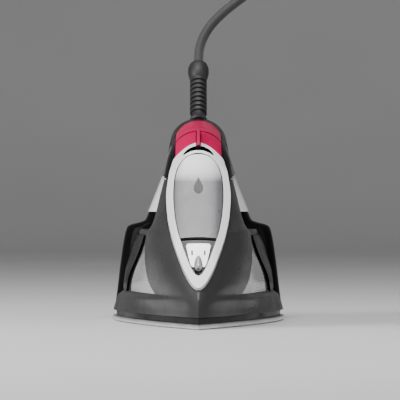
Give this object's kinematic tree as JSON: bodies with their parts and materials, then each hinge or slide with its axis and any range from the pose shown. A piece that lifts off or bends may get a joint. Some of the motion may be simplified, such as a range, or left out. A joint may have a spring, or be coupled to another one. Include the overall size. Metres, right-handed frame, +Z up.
{
  "type": "steam iron",
  "caption": "Steam iron with loop handle, front fill door, spray nozzle, pump buttons, steam lever, heat dial, swivelling cord guard and a mains cord with plug.",
  "frame": {"origin": "centre of the iron's footprint, on the surface that the sole lies on", "axes": "+Z up, -Y towards the nose, +Y towards the heel, X across the iron"},
  "size_m": [0.2559, 0.3021, 0.2499],
  "materials": {
    "polished_sole": "polished",
    "steel": "bright",
    "cast_aluminium": "as cast",
    "ceramic": "unglazed",
    "dark_grey_plastic": "satin",
    "panel_grey_plastic": "satin",
    "gloss_black_plastic": "high gloss",
    "black_plastic": "satin",
    "white_plastic": "gloss",
    "pearl_plastic": "pearl",
    "silver_plastic": "satin silver",
    "satin_door": "satin silver-grey",
    "magenta_red_plastic": "gloss",
    "tank_window": "smoky clear",
    "translucent_tank": "frosted clear",
    "pilot_lens": "clear amber",
    "black_rubber": "matte",
    "cord_jacket": "matte"
  },
  "bodies": {
    "iron": {"body_shell": "dark_grey_plastic", "cord_hank": "cord_jacket", "cord_tail": "cord_jacket", "cord_tie": "black_rubber", "dial_ring": "silver_plastic", "door_hinge_pin": "steel", "filler_neck": "translucent_tank", "front_bezel": "white_plastic", "front_cover": "magenta_red_plastic", "front_panel": "panel_grey_plastic", "front_tray": "black_plastic", "handle_inlay": "magenta_red_plastic", "handle_shell": "black_plastic", "heat_shield": "black_plastic", "heater_casting": "cast_aluminium", "heating_element": "steel", "heel_foot_left": "black_rubber", "heel_foot_right": "black_rubber", "heel_screw_lower_left": "steel", "heel_screw_lower_right": "steel", "heel_screw_upper": "steel", "nozzle_bezel": "silver_plastic", "pilot_light_lens": "pilot_lens", "plug_body": "black_plastic", "plug_pin_left": "steel", "plug_pin_right": "steel", "power_cord": "cord_jacket", "rail_insert_left": "white_plastic", "rail_insert_right": "white_plastic", "rear_cover": "gloss_black_plastic", "side_panel_left": "gloss_black_plastic", "side_panel_right": "gloss_black_plastic", "soleplate": "polished_sole", "spray_nozzle": "pearl_plastic", "spray_pump": "black_plastic", "spray_spring": "steel", "steam_chamber_cover": "steel", "steam_pump": "black_plastic", "steam_spring": "steel", "tank_window_left": "tank_window", "tank_window_right": "tank_window", "terminal_block": "ceramic", "thermal_fuse": "ceramic", "thermostat": "ceramic", "under_cover": "black_plastic", "water_tank": "translucent_tank"},
    "fill_door": {"fill_door": "satin_door"},
    "spray_button": {"spray_button": "magenta_red_plastic", "spray_piston": "white_plastic"},
    "steam_button": {"steam_button": "magenta_red_plastic", "steam_piston": "white_plastic"},
    "steam_lever": {"steam_lever": "black_plastic", "steam_lever_insert": "magenta_red_plastic", "steam_valve_rod": "steel"},
    "temperature_dial": {"temperature_dial": "gloss_black_plastic", "dial_pointer": "white_plastic", "dial_shaft": "steel"},
    "cord_guard": {"cord_ball": "black_plastic", "cord_guard": "black_rubber"}
  },
  "joints": [
    {"name": "fill_door_hinge", "type": "hinge", "parent": "iron", "child": "fill_door", "pos_m": [0, -0.09338, 0.05768], "axis": [1, 0, 0], "range_deg": [0, 70]},
    {"name": "spray_button_press", "type": "slide", "parent": "iron", "child": "spray_button", "axis": [0, 0.1132, -0.9936], "range_m": [0, 0.002], "stiffness_N_per_m": 800, "springref_m": -0.002, "deforming": ["spray_spring"]},
    {"name": "steam_button_press", "type": "slide", "parent": "iron", "child": "steam_button", "axis": [0, 0.1132, -0.9936], "range_m": [0, 0.002], "stiffness_N_per_m": 800, "springref_m": -0.002, "deforming": ["steam_spring"]},
    {"name": "steam_lever_turn", "type": "hinge", "parent": "iron", "child": "steam_lever", "pos_m": [0, -0.05314, 0.10854], "axis": [0, -0.7716, 0.6361], "range_deg": [-35, 35]},
    {"name": "temperature_dial_turn", "type": "hinge", "parent": "iron", "child": "temperature_dial", "pos_m": [0, 0.019, 0.07], "axis": [0, 0, 1], "range_deg": [0, 270]},
    {"name": "cord_guard_tilt", "type": "hinge", "parent": "iron", "child": "cord_guard", "pos_m": [0, 0.099, 0.13], "axis": [1, 0, 0], "range_deg": [-15, 20], "deforming": ["power_cord"]}
  ]
}
